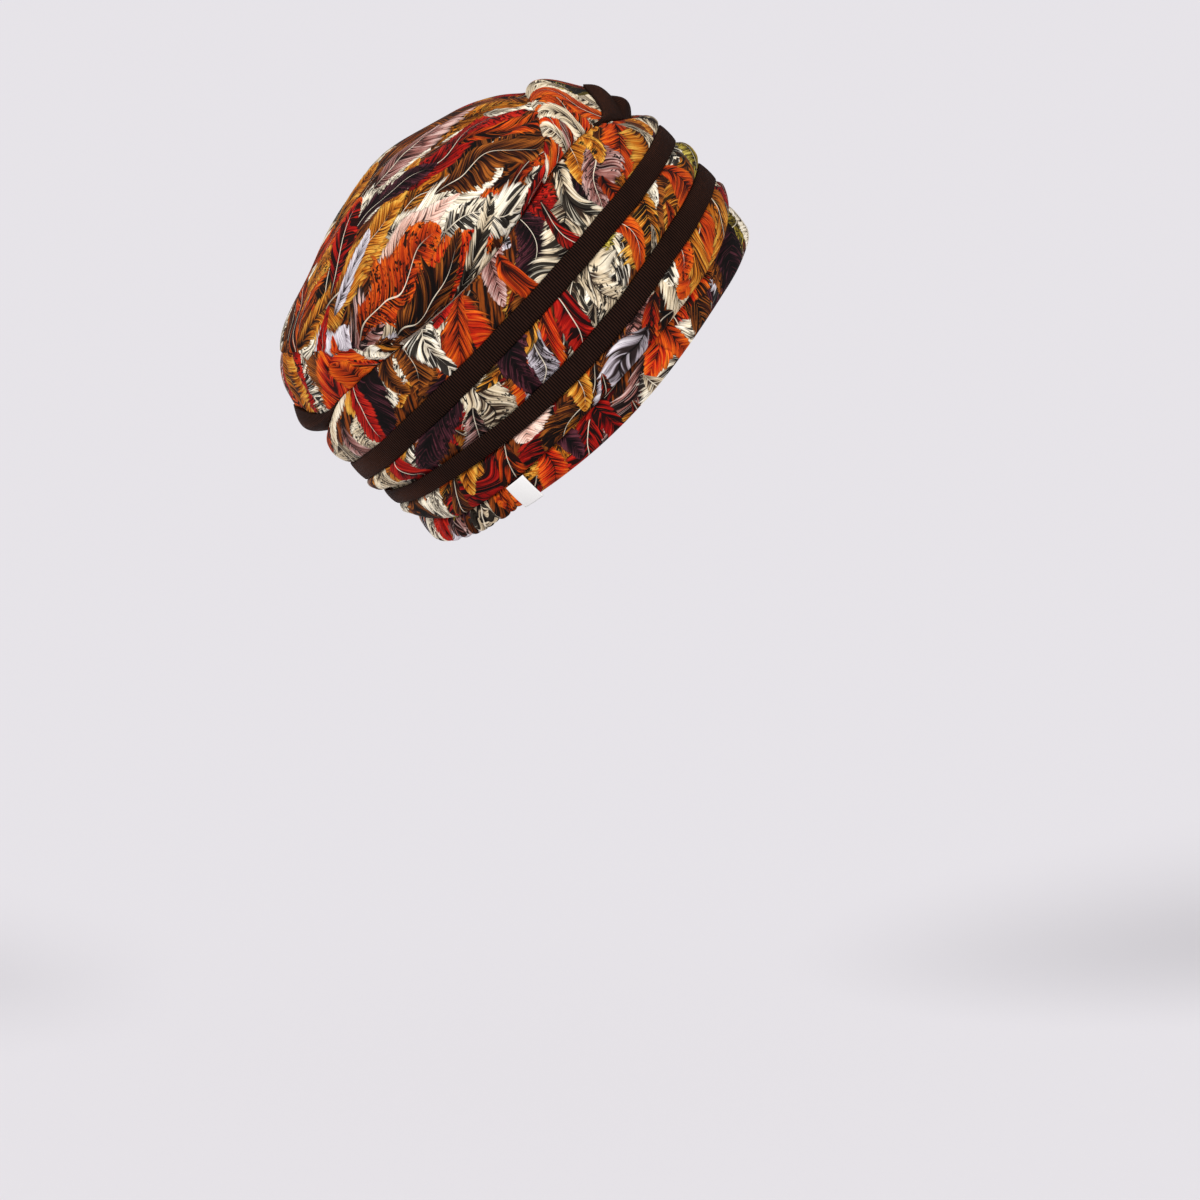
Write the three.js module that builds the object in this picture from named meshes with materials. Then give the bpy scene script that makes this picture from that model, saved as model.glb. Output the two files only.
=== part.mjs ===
import * as THREE from 'three';

// Turban cap in millimetres, worn tilted back on the head. The cap is laid out level, with
// the rim ring about z = 0, the front at -Y and the wearer's right at -X, and then tilted.
const RIM_TILT = 45;
const CLOTH = 1.6;
const HEM = 2.2;
const RIBBON = 1.5;
const LABEL = 0.8;
const GAP = 0.5;
const SQUARENESS = 2.12;
const ROUND = 52;

const PRINT_COLOUR = 0x9a5a35;
const RIBBON_COLOUR = 0x3a2820;
const LABEL_COLOUR = 0xecebe8;

// Rings round the head. Heights are read at the front, brow, side, rear and back;
// ahead, half_width and behind are how far the ring reaches from the middle.
const HEIGHT_ANGLES = [0, 40, 90, 140, 180];
const RINGS = {
  rim: { heights: [0, -7, -16, -6.5, 2], ahead: 101, half_width: 77.5, behind: 101.5 },
  hem_seam: { heights: [19, 7, 0.5, 5, 20], ahead: 106, half_width: 80, behind: 102.5 },
  lower_ribbon: { heights: [35.5, 28, 18.5, 26.5, 33.5], ahead: 109, half_width: 83, behind: 105.5 },
  upper_ribbon: { heights: [61.5, 56.5, 51.5, 51, 52.5], ahead: 108.5, half_width: 85.5, behind: 108 },
  upper_edge: { heights: [78, 91, 79.5, 83.5, 75.5], ahead: 102.5, half_width: 81, behind: 105.5 },
};
const RIBBON_HALF = 5.4;
const VALLEY = 1.5;

// Bands are stretches between two rings, each a row of cross-section stations:
// along runs from the low ring to the high ring, out is how far the cloth stands off.
const HEM_BAND = [
  {
    low: 'rim', low_shift: 0, high: 'hem_seam', high_shift: -GAP / 2,
    stations: [
      { along: 0, out: -1.2 },
      { along: 0.2, out: 2.4 },
      { along: 0.6, out: 1.8 },
      { along: 1, out: -0.6 },
    ],
  },
];
const LOWER_FOLD = [
  {
    low: 'hem_seam', low_shift: GAP / 2, high: 'lower_ribbon', high_shift: -RIBBON_HALF - 0.3,
    stations: [
      { along: 0, out: -0.8 },
      { along: 0.25, out: 1.6 },
      { along: 0.6, out: 2.2 },
      { along: 0.88, out: 0.3 },
      { along: 1, out: -1.9 },
    ],
  },
  {
    low: 'lower_ribbon', low_shift: 0, high: 'lower_ribbon', high_shift: RIBBON_HALF - 0.3,
    stations: [{ along: 1, out: -1.9 }],
  },
];
const MIDDLE_FOLD = [
  {
    low: 'lower_ribbon', low_shift: RIBBON_HALF + 0.4, high: 'upper_ribbon', high_shift: -RIBBON_HALF - 0.3,
    stations: [
      { along: 0, out: -0.6 },
      { along: 0.22, out: 2.2 },
      { along: 0.6, out: 2.6 },
      { along: 0.9, out: 0.3 },
      { along: 1, out: -1.9 },
    ],
  },
  {
    low: 'upper_ribbon', low_shift: 0, high: 'upper_ribbon', high_shift: RIBBON_HALF - 0.3,
    stations: [{ along: 1, out: -1.9 }],
  },
];
const UPPER_FOLD = [
  {
    low: 'upper_ribbon', low_shift: RIBBON_HALF + 0.4, high: 'upper_edge', high_shift: -GAP,
    stations: [
      { along: 0, out: -0.8 },
      { along: 0.18, out: 2.0 },
      { along: 0.5, out: 3.4 },
      { along: 0.8, out: 2.4 },
      { along: 1, out: -VALLEY },
    ],
  },
];
const ribbonBand = (ring) => [
  {
    low: ring, low_shift: -RIBBON_HALF, high: ring, high_shift: RIBBON_HALF,
    stations: [
      { along: 0, out: 0.4 },
      { along: 0.5, out: 1.0 },
      { along: 1, out: 0.4 },
    ],
  },
];

// Side seams of the hem, the ruching of its back half and the soft puckers of the upper band
const SIDE_SEAM_ANGLE = 123;
const RUCHE = { count: 15, depth: 2.0 };
const PUCKERS = { count: 15, depth: 0.9, from: 8, to: 62 };

// Crown: the ridge line over the middle from front crease to back crease
const CROWN_SPINE = [
  { ahead: 73, height: 122 },
  { ahead: 62, height: 130.5 },
  { ahead: 41, height: 140 },
  { ahead: 8, height: 147 },
  { ahead: -27, height: 143.2 },
  { ahead: -59, height: 133.5 },
  { ahead: -83, height: 124.5 },
  { ahead: -93, height: 118 },
];
const CROWN_FRONT_ANGLE = 60;
const CROWN_BACK_ANGLE = 112;
const CREASE_CURVE = { front: 2, back: 0.9 };
const CROWN_PUFF = 4.5;

// Crown folds run from the front crease to the back crease. front and back are where a fold
// leaves and meets the creases, -1 at the right edge and 1 at the left; wide is its half width.
const CROWN_FOLDS = [
  { front: -0.12, back: -0.2, wide: 0.09, depth: -2.2 },
  { front: -0.3, back: -0.42, wide: 0.1, depth: -3.2 },
  { front: -0.5, back: -0.62, wide: 0.1, depth: -3.0 },
  { front: -0.72, back: -0.8, wide: 0.1, depth: -2.2 },
  { front: 0.14, back: 0.22, wide: 0.09, depth: -2.4 },
  { front: 0.34, back: 0.44, wide: 0.1, depth: -2.2 },
  { front: 0.55, back: 0.64, wide: 0.1, depth: -2.8 },
  { front: 0.75, back: 0.82, wide: 0.1, depth: -2.2 },
];

// Tucks fill the crescents between a crease and the band below. ribbon_ahead and ribbon_height
// place the top of the tuck's ribbon on the middle; reach is where it slips under the band.
const FRONT_TUCK = { ribbon_ahead: 96, ribbon_height: 105, reach: 45, ribbon_drop: 12, bulge: 0.24, lean: 0.52 };
const BACK_TUCK = { ribbon_ahead: -107.5, ribbon_height: 95.5, reach: 48, bulge: 0.11, lean: 0.9 };
const CROSS = { reach: 13, fade: 17, split: 3, slant: 4, height: 13.4, bulge: 6.2 };
const RIBBON_BULGE = { front: 1.6, back: 6.2 };
const SIDE_LABEL = { turn: 6.5, out: 3.9, foot: -0.12, top: 0.66 };

const rad = (degrees) => (degrees * Math.PI) / 180;
const mix = (a, b, t) => a + (b - a) * t;
const bump = (d) => (Math.abs(d) < 1 ? Math.cos((d * Math.PI) / 2) ** 2 : 0);
const power = (v) => Math.sign(v) * Math.abs(v) ** (2 / SQUARENESS);

// Smooth curve through values at the given places, level at both ends
function throughValues(places, values, at) {
  let i = 0;
  while (i < places.length - 2 && at > places[i + 1]) i += 1;
  const slope = (k) =>
    k <= 0 || k >= places.length - 1 ? 0 : (values[k + 1] - values[k - 1]) / (places[k + 1] - places[k - 1]);
  const span = places[i + 1] - places[i];
  const t = (at - places[i]) / span;
  const rise = values[i + 1] - values[i];
  const start = slope(i) * span;
  const end = slope(i + 1) * span;
  return values[i] + t * (start + t * (3 * rise - 2 * start - end + t * (start + end - 2 * rise)));
}

// Smooth curve through a table's rows, at t from 0 to 1
function alongRows(rows, column, t) {
  const f = t * (rows.length - 1);
  const i = Math.min(Math.floor(f), rows.length - 2);
  const value = (k) => rows[Math.max(0, Math.min(rows.length - 1, k))][column];
  const [a, b, c, d] = [value(i - 1), value(i), value(i + 1), value(i + 2)];
  const u = f - i;
  return b + 0.5 * u * (c - a + u * (2 * a - 5 * b + 4 * c - d + u * (3 * (b - c) + d - a)));
}

// Height of a ring at an angle from the front; both sides are alike
function ringHeight(ring, degrees) {
  const turned = Math.abs(((degrees + 540) % 360) - 180);
  return throughValues(HEIGHT_ANGLES, ring.heights, turned);
}

// Point of a ring at an angle from the front, right side first, moved out from the head
function ringPoint(ring, degrees, out = 0) {
  const s = power(Math.sin(rad(degrees)));
  const c = power(Math.cos(rad(degrees)));
  const length = c > 0 ? ring.ahead : ring.behind;
  const nx = (-Math.sign(s) * Math.abs(s) ** (SQUARENESS - 1)) / ring.half_width;
  const ny = (-Math.sign(c) * Math.abs(c) ** (SQUARENESS - 1)) / length;
  const n = Math.hypot(nx, ny);
  return new THREE.Vector3(
    -ring.half_width * s + (out * nx) / n,
    -length * c + (out * ny) / n,
    ringHeight(ring, degrees),
  );
}

// Angle where a ring lies at a given distance from the middle plane
function angleAtSide(ring, side, behind) {
  const turned = (Math.asin(Math.min(1, (Math.abs(side) / ring.half_width) ** (SQUARENESS / 2))) * 180) / Math.PI;
  return behind ? 180 - turned : turned;
}

// Closed cloth wall from a grid of outer points. The inner face lies one thickness behind
// along the surface normal; a wall that goes right round joins its ends.
function clothWall(name, columns, rows, pointAt, thickness, goesRound, colour) {
  const across = goesRound ? columns : columns + 1;
  const down = rows + 1;
  const outer = [];
  for (let i = 0; i < across; i += 1) {
    for (let j = 0; j < down; j += 1) outer.push(pointAt(i / columns, j / rows, j));
  }
  const wrap = (i) => (goesRound ? (i + across) % across : Math.max(0, Math.min(across - 1, i)));
  const clampRow = (j) => Math.max(0, Math.min(down - 1, j));
  const at = (i, j) => outer[wrap(i) * down + clampRow(j)];
  const inner = [];
  for (let i = 0; i < across; i += 1) {
    for (let j = 0; j < down; j += 1) {
      const alongColumns = at(i + 1, j).clone().sub(at(i - 1, j));
      const alongRowsStep = at(i, j + 1).clone().sub(at(i, j - 1));
      const normal = alongRowsStep.cross(alongColumns).normalize();
      inner.push(at(i, j).clone().addScaledVector(normal, -thickness));
    }
  }
  const points = outer.concat(inner);
  const shift = outer.length;
  const index = [];
  const quad = (a, b, c, d) => index.push(a, b, c, a, c, d);
  const id = (i, j) => wrap(i) * down + j;
  const spans = goesRound ? across : across - 1;
  for (let i = 0; i < spans; i += 1) {
    for (let j = 0; j < rows; j += 1) {
      const [a, b, c, d] = [id(i, j), id(i, j + 1), id(i + 1, j + 1), id(i + 1, j)];
      quad(a, b, c, d);
      quad(a + shift, d + shift, c + shift, b + shift);
    }
    quad(id(i, 0), id(i + 1, 0), id(i + 1, 0) + shift, id(i, 0) + shift);
    quad(id(i + 1, rows), id(i, rows), id(i, rows) + shift, id(i + 1, rows) + shift);
  }
  if (!goesRound) {
    for (let j = 0; j < rows; j += 1) {
      quad(id(0, j + 1), id(0, j), id(0, j) + shift, id(0, j + 1) + shift);
      quad(id(spans, j), id(spans, j + 1), id(spans, j + 1) + shift, id(spans, j) + shift);
    }
  }
  const geometry = new THREE.BufferGeometry();
  geometry.setAttribute('position', new THREE.Float32BufferAttribute(points.flatMap((p) => [p.x, p.y, p.z]), 3));
  geometry.setIndex(index);
  geometry.computeVertexNormals();
  const roughness = colour === RIBBON_COLOUR ? 0.7 : 0.85;
  const mesh = new THREE.Mesh(geometry, new THREE.MeshStandardMaterial({ color: colour, roughness, metalness: 0 }));
  mesh.name = name;
  return mesh;
}

// Point of a band at an angle, by station number counted up through its stretches
function bandPoint(stretches, degrees, station, extra = 0) {
  let stretch = stretches[0];
  let k = station;
  if (k >= stretch.stations.length) {
    k -= stretch.stations.length;
    stretch = stretches[1];
  }
  const { along, out } = stretch.stations[k];
  const low = ringPoint(RINGS[stretch.low], degrees, out + extra);
  const high = ringPoint(RINGS[stretch.high], degrees, out + extra);
  low.z += stretch.low_shift;
  high.z += stretch.high_shift;
  return low.lerp(high, along);
}

// Band that goes right round the head
function roundBand(name, stretches, thickness, colour, extraAt = () => 0) {
  const rows = stretches.reduce((sum, stretch) => sum + stretch.stations.length, 0) - 1;
  const pointAt = (u, v, j) => bandPoint(stretches, 360 * u, j, extraAt(360 * u, v));
  return clothWall(name, ROUND, rows, pointAt, thickness, true, colour);
}

// Hem over part of the round, from one side seam to the other
function hemBand(name, from, to, columns, extraAt) {
  const rows = HEM_BAND[0].stations.length - 1;
  const pointAt = (u, v, j) => bandPoint(HEM_BAND, mix(from, to, u), j, extraAt(u, v));
  return clothWall(name, columns, rows, pointAt, HEM, false, PRINT_COLOUR);
}

// Puckers near the front top of the upper band, fading out at its lower edge
function puckerAt(degrees, v) {
  const turned = Math.abs(((degrees + 540) % 360) - 180);
  const fade = bump((2 * turned - PUCKERS.from - PUCKERS.to) / (PUCKERS.to - PUCKERS.from));
  return PUCKERS.depth * fade * Math.sin(rad(PUCKERS.count * turned)) * v * (1 - v) * 4;
}

// Crown point without folds: t from the front crease to the back, w from right edge to left
function crownBase(t, w) {
  const edge = ringPoint(RINGS.upper_edge, mix(CROWN_FRONT_ANGLE, CROWN_BACK_ANGLE, t), -VALLEY);
  const rise = power(Math.cos((w * Math.PI) / 2));
  const over = 1 - rise;
  const puff = CROWN_PUFF * bump((Math.abs(w) - 0.68) / 0.32) * bump((t - 0.5) / 0.75);
  const side = power(Math.sin((w * Math.PI) / 2));
  return new THREE.Vector3(
    Math.abs(edge.x) * side + Math.sign(w) * puff,
    mix(-alongRows(CROWN_SPINE, 'ahead', t), edge.y, over ** mix(CREASE_CURVE.front, CREASE_CURVE.back, t)),
    mix(edge.z + GAP, alongRows(CROWN_SPINE, 'height', t), rise),
  );
}

// Crown point with folds pressed in, deepest near the creases where the cloth is gathered
function crownPoint(t, w) {
  const point = crownBase(t, w);
  const gather = 0.45 + 0.55 * (2 * t - 1) ** 2;
  const rest = bump(2 * t - 1) ** 0.25;
  let depth = 0;
  for (const fold of CROWN_FOLDS) {
    depth += fold.depth * bump((w - mix(fold.front, fold.back, t)) / fold.wide);
  }
  const up = new THREE.Vector3(point.x, point.y * 0.5, point.z - 70).normalize();
  return point.addScaledVector(up, depth * gather * rest);
}

// Top line of a tuck's ribbon in the plane at one distance from the middle
function tuckEdge(tuck, side, behind) {
  const ring = RINGS.upper_edge;
  const base = ringPoint(ring, angleAtSide(ring, side, behind), -VALLEY);
  const lift = bump(side / tuck.reach);
  const middle = ringPoint(ring, behind ? 180 : 0, -VALLEY);
  return new THREE.Vector3(
    side,
    base.y + lift * (-tuck.ribbon_ahead - middle.y),
    base.z + GAP + lift * (tuck.ribbon_height - base.z),
  );
}

// Lower line of the front ribbon, which never drops below the band's top edge
function frontRibbonFoot(side) {
  const ring = RINGS.upper_edge;
  const base = ringPoint(ring, angleAtSide(ring, side, false), -VALLEY);
  const top = tuckEdge(FRONT_TUCK, side, false);
  const lift = bump(side / (CROSS.fade + 9));
  const drop = mix(base.z + 2 * GAP, top.z - FRONT_TUCK.ribbon_drop, lift);
  return new THREE.Vector3(side, base.y - 1.4 * lift, Math.min(drop, top.z - 1.2));
}

// Point between an upper and a lower line, swollen away from the head in its own plane
function swollen(top, foot, t, bulge, lean) {
  const chord = foot.clone().sub(top);
  const out = new THREE.Vector3(0, -chord.z, chord.y).multiplyScalar(Math.sign(foot.y)).normalize();
  return top.clone().lerp(foot, t).addScaledVector(out, bulge * Math.sin(Math.PI * t ** lean));
}

// Crescent of printed cloth between a crease of the crown and its ribbon or the band below
function buildTuck(name, tuck, behind) {
  const pointAt = (u, v) => {
    const top = crownPoint(behind ? 1 : 0, mix(-0.94, 0.94, behind ? 1 - u : u));
    top.y += behind ? 2.4 * GAP : -1.8 * GAP;
    const foot = tuckEdge(tuck, top.x, behind);
    foot.z += GAP;
    return swollen(top, foot, v, tuck.bulge * top.distanceTo(foot), tuck.lean);
  };
  return clothWall(name, 24, 5, pointAt, CLOTH, false, PRINT_COLOUR);
}

// Ribbon along the front tuck, running out where it slips under the upper band
function buildFrontRibbon() {
  const pointAt = (u, v) => {
    const side = mix(-0.92, 0.92, u) * FRONT_TUCK.reach;
    const top = tuckEdge(FRONT_TUCK, side, false);
    top.z -= GAP / 2;
    top.y -= GAP / 2;
    return swollen(top, frontRibbonFoot(side), v, RIBBON_BULGE.front * bump(side / FRONT_TUCK.reach), 1);
  };
  return clothWall('front_ribbon', 20, 2, pointAt, RIBBON, false, RIBBON_COLOUR);
}

// Ribbon along the back tuck, hanging full at the middle and rolled in at its lower edge
function buildBackRibbon() {
  const ring = RINGS.upper_edge;
  const pointAt = (u, v) => {
    const side = mix(0.72, -0.72, u) * BACK_TUCK.reach;
    const top = tuckEdge(BACK_TUCK, side, true);
    const foot = ringPoint(ring, angleAtSide(ring, side, true), -VALLEY);
    foot.x = side;
    top.z -= 2 * GAP;
    foot.z += GAP / 2;
    return swollen(top, foot, v, RIBBON_BULGE.back * bump(side / BACK_TUCK.reach), 1);
  };
  return clothWall('back_ribbon', 20, 4, pointAt, RIBBON, false, RIBBON_COLOUR);
}

// Piece of the crossing fold between the front ribbon and the upper band; from and to
// slant with height, so that the ribbon and the print meet on an oblique line
function buildCross(name, from, to, slant, colour, thickness) {
  const ring = RINGS.upper_edge;
  const pointAt = (u, v) => {
    const side = mix(from + slant.from * (1 - v), to + slant.to * (1 - v), u);
    const top = frontRibbonFoot(side);
    const foot = ringPoint(ring, angleAtSide(ring, side, false), -VALLEY);
    foot.x = side;
    top.z -= (1 + bump(side / CROSS.fade)) * 2 * GAP;
    foot.z += 1.2 * GAP;
    return swollen(top, foot, v, CROSS.bulge * (top.distanceTo(foot) / CROSS.height) ** 2, 1);
  };
  return clothWall(name, 10, 4, pointAt, thickness, false, colour);
}

// Bare folded tab on the right side seam, hanging a little below the rim
function buildLabel() {
  const pointAt = (u, v) => {
    const degrees = mix(SIDE_SEAM_ANGLE - SIDE_LABEL.turn, SIDE_SEAM_ANGLE, u);
    const low = ringPoint(RINGS.rim, degrees, SIDE_LABEL.out);
    const high = ringPoint(RINGS.hem_seam, degrees, SIDE_LABEL.out);
    return low.lerp(high, mix(SIDE_LABEL.foot, SIDE_LABEL.top, v));
  };
  return clothWall('side_label', 3, 3, pointAt, LABEL, false, LABEL_COLOUR);
}

const frontSeam = SIDE_SEAM_ANGLE - 0.1;
const backSeam = SIDE_SEAM_ANGLE + 0.1;
const rucheAt = (u, v) => RUCHE.depth * Math.sin(Math.PI * RUCHE.count * u) ** 2 * (1 - 0.5 * v);
const headwrap = new THREE.Group();
headwrap.rotation.x = -rad(RIM_TILT);
headwrap.add(
  clothWall('crown', 36, 18, (u, v) => crownPoint(v, mix(-1, 1, u)), CLOTH, false, PRINT_COLOUR),
  buildTuck('front_tuck', FRONT_TUCK, false),
  buildFrontRibbon(),
  buildCross('cross_ribbon', -CROSS.reach, CROSS.split, { from: 0, to: CROSS.slant }, RIBBON_COLOUR, RIBBON),
  buildCross('cross_tuck', CROSS.split + 2 * GAP, CROSS.reach, { from: CROSS.slant, to: 0 }, PRINT_COLOUR, CLOTH),
  buildTuck('back_tuck', BACK_TUCK, true),
  buildBackRibbon(),
  roundBand('upper_fold', UPPER_FOLD, CLOTH, PRINT_COLOUR, puckerAt),
  roundBand('upper_ribbon', ribbonBand('upper_ribbon'), RIBBON, RIBBON_COLOUR),
  roundBand('middle_fold', MIDDLE_FOLD, CLOTH, PRINT_COLOUR),
  roundBand('lower_ribbon', ribbonBand('lower_ribbon'), RIBBON, RIBBON_COLOUR),
  roundBand('lower_fold', LOWER_FOLD, CLOTH, PRINT_COLOUR),
  hemBand('hem_front', -frontSeam, frontSeam, 34, () => 0),
  hemBand('hem_back', backSeam, 360 - backSeam, 60, rucheAt),
  buildLabel(),
);
export default headwrap;
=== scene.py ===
import bpy
import numpy as np
from mathutils import Matrix


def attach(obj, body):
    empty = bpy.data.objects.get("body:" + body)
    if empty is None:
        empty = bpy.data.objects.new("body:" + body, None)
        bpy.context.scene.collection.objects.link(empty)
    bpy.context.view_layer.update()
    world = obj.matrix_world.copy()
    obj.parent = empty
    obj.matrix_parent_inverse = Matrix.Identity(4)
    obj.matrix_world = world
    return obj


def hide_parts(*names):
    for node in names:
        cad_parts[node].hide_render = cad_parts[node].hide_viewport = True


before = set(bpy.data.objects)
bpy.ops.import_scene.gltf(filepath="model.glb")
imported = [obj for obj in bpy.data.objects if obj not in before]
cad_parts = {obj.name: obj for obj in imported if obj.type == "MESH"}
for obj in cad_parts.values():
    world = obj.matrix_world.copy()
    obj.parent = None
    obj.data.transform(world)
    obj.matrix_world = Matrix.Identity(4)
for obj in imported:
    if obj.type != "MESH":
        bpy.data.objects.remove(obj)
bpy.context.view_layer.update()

# Crown: one soft panel of printed jersey that stands as a pouf over the top of the head.
# It is gathered into a crease at the front and another at the back, and its sides are
# caught in the valley behind the upper fold.
TILT = np.radians(45.0)
SQUARENESS = 2.12
GAP = 0.5
VALLEY = 1.5
HEIGHT_ANGLES = (0.0, 40.0, 90.0, 140.0, 180.0)
RINGS = {  # heights at those angles; reach ahead, to the side, behind, in mm
    "rim": ((0, -7, -16, -6.5, 2), 101.0, 77.5, 101.5),
    "hem_seam": ((19, 7, 0.5, 5, 20), 106.0, 80.0, 102.5),
    "lower_ribbon": ((35.5, 28, 18.5, 26.5, 33.5), 109.0, 83.0, 105.5),
    "upper_ribbon": ((61.5, 56.5, 51.5, 51, 52.5), 108.5, 85.5, 108.0),
    "upper_edge": ((78, 91, 79.5, 83.5, 75.5), 102.5, 81.0, 105.5),
}
CROWN_AHEAD = (73.0, 62.0, 41.0, 8.0, -27.0, -59.0, -83.0, -93.0)
CROWN_HEIGHT = (122.0, 130.5, 140.0, 147.0, 143.2, 133.5, 124.5, 118.0)
CROWN_FOLDS = (  # where it leaves the front, where it meets the back, half width, depth
    (-0.12, -0.20, 0.09, 2.2),
    (-0.30, -0.42, 0.10, 3.2),
    (-0.50, -0.62, 0.10, 3.0),
    (-0.72, -0.80, 0.10, 2.2),
    (0.14, 0.22, 0.09, 2.4),
    (0.34, 0.44, 0.10, 2.2),
    (0.55, 0.64, 0.10, 2.8),
    (0.75, 0.82, 0.10, 2.2),
)
CROWN_SPAN = (60.0, 112.0)
CROWN_PUFF = 4.5
CROWN_OUT = 1.6
CROWN_VALLEY = 3.2
CROWN_CREASE = ((0.7, 0.6), (1.0, 2.2), (1.0, 4.5))


def bell(d):
    """cos squared of d quarter turns for d from -1 to 1, and nothing outside."""
    return np.cos(np.clip(d, -1, 1) * np.pi / 2) ** 2


def rounded(v):
    """|v| to the power 2 / SQUARENESS with the sign of v, which squares a circle a little."""
    return np.sign(v) * np.abs(v) ** (2 / SQUARENESS)


def mix(a, b, t):
    """Straight blend from a at t = 0 to b at t = 1."""
    return a + (b - a) * t


def through(places, values, at):
    """Cubic through values at places: slopes are central differences, level at both ends."""
    places, values = np.asarray(places, float), np.asarray(values, float)
    slope = np.zeros(len(values))
    slope[1:-1] = (values[2:] - values[:-2]) / (places[2:] - places[:-2])
    i = np.clip(np.searchsorted(places, at) - 1, 0, len(places) - 2)
    span, rise = places[i + 1] - places[i], values[i + 1] - values[i]
    t, start, end = (at - places[i]) / span, slope[i] * span, slope[i + 1] * span
    return values[i] + t * (start + t * (3 * rise - 2 * start - end + t * (start + end - 2 * rise)))


def along_rows(rows, t):
    """Catmull-Rom curve through evenly spaced rows (any trailing shape), t from 0 to 1."""
    rows = np.asarray(rows, float)
    f = np.asarray(t, float) * (len(rows) - 1)
    i = np.clip(np.floor(f).astype(int), 0, len(rows) - 2)
    a, b, c, d = (rows[np.clip(i + k, 0, len(rows) - 1)] for k in (-1, 0, 1, 2))
    u = (f - i).reshape(f.shape + (1,) * (rows.ndim - 1))
    return b + 0.5 * u * (c - a + u * (2 * a - 5 * b + 4 * c - d + u * (3 * (b - c) + d - a)))


def ring(name, degrees, out=0.0):
    """Ring round the head: x and y on a squared ellipse at that angle from the front, right
    side first, moved out along its own normal; z through the table of heights."""
    heights, ahead, half_width, behind = RINGS[name]
    s, c = rounded(np.sin(np.radians(degrees))), rounded(np.cos(np.radians(degrees)))
    length = np.where(c > 0, ahead, behind)
    nx = -np.sign(s) * np.abs(s) ** (SQUARENESS - 1) / half_width
    ny = -np.sign(c) * np.abs(c) ** (SQUARENESS - 1) / length
    n = np.hypot(nx, ny)
    z = through(HEIGHT_ANGLES, heights, np.abs((degrees + 540) % 360 - 180))
    parts = np.broadcast_arrays(-half_width * s + out * nx / n, -length * c + out * ny / n, z)
    return np.stack(parts, axis=-1)


def ripples(a, b, wavelength, seed, count=9):
    """Soft random waves on the plane of a and b: a sum of sines that run every way, with
    wavelengths about the one given; about -1 to 1."""
    rng = np.random.default_rng(seed)
    way, start, size = rng.uniform(0, 2 * np.pi, (3, count))
    k = 2 * np.pi / (wavelength * (0.7 + 0.6 * size / (2 * np.pi)))
    wave = np.multiply.outer(np.cos(way) * k, a) + np.multiply.outer(np.sin(way) * k, b)
    return np.sin(wave + start.reshape((-1,) + (1,) * np.ndim(a))).sum(axis=0) / np.sqrt(count)


def gathers(place, count, low, high, width, seed):
    """Row of small hollows at jittered places from low to high: a sum of bells, each with
    its own width and depth."""
    rng = np.random.default_rng(seed)
    step = (high - low) / count
    at = low + step * (np.arange(count) + 0.5 + rng.uniform(-0.35, 0.35, count))
    wide, deep = width * rng.uniform(0.7, 1.5, count), rng.uniform(0.45, 1.0, count)
    shape = (-1,) + (1,) * np.ndim(place)
    return (deep.reshape(shape) * bell((place - at.reshape(shape)) / wide.reshape(shape))).sum(axis=0)


def normals(grid, joined=False):
    """Unit normals of a grid of points (rows, columns, 3): row step crossed with column step."""
    padded = np.concatenate([grid[:, -1:], grid, grid[:, :1]], axis=1) if joined else grid
    across = np.gradient(padded, axis=1)
    n = np.cross(np.gradient(padded, axis=0), across)
    n /= np.maximum(np.linalg.norm(n, axis=2, keepdims=True), 1e-9)
    return n[:, 1:-1] if joined else n


def lengths(grid, joined=False):
    """Cloth coordinates of a grid in mm: arc length along the columns' way, averaged over
    the rows, and arc length along the rows' way; a joined grid gets a closing column."""
    shut = np.concatenate([grid, grid[:, :1]], axis=1) if joined else grid
    across = np.linalg.norm(np.diff(shut, axis=1), axis=2).mean(axis=0)
    down = np.linalg.norm(np.diff(shut, axis=0), axis=2)
    u = np.concatenate([[0], np.cumsum(across)])
    v = np.concatenate([np.zeros((1, shut.shape[1])), np.cumsum(down, axis=0)])
    return np.broadcast_to(u, v.shape), v


def turned_in(grid, end, steps):
    """Grid with rows added at one end (0 or -1) that carry on past the edge by the first
    number of each step and sink below the surface by the second."""
    edge, inward = grid[end], normals(grid)[end]
    onward = edge - grid[1 if end == 0 else -2]
    onward /= np.maximum(np.linalg.norm(onward, axis=1, keepdims=True), 1e-9)
    rows = np.stack([edge + onward * past - inward * deep for past, deep in steps])
    return np.concatenate([rows[::-1], grid] if end == 0 else [grid, rows])


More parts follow.
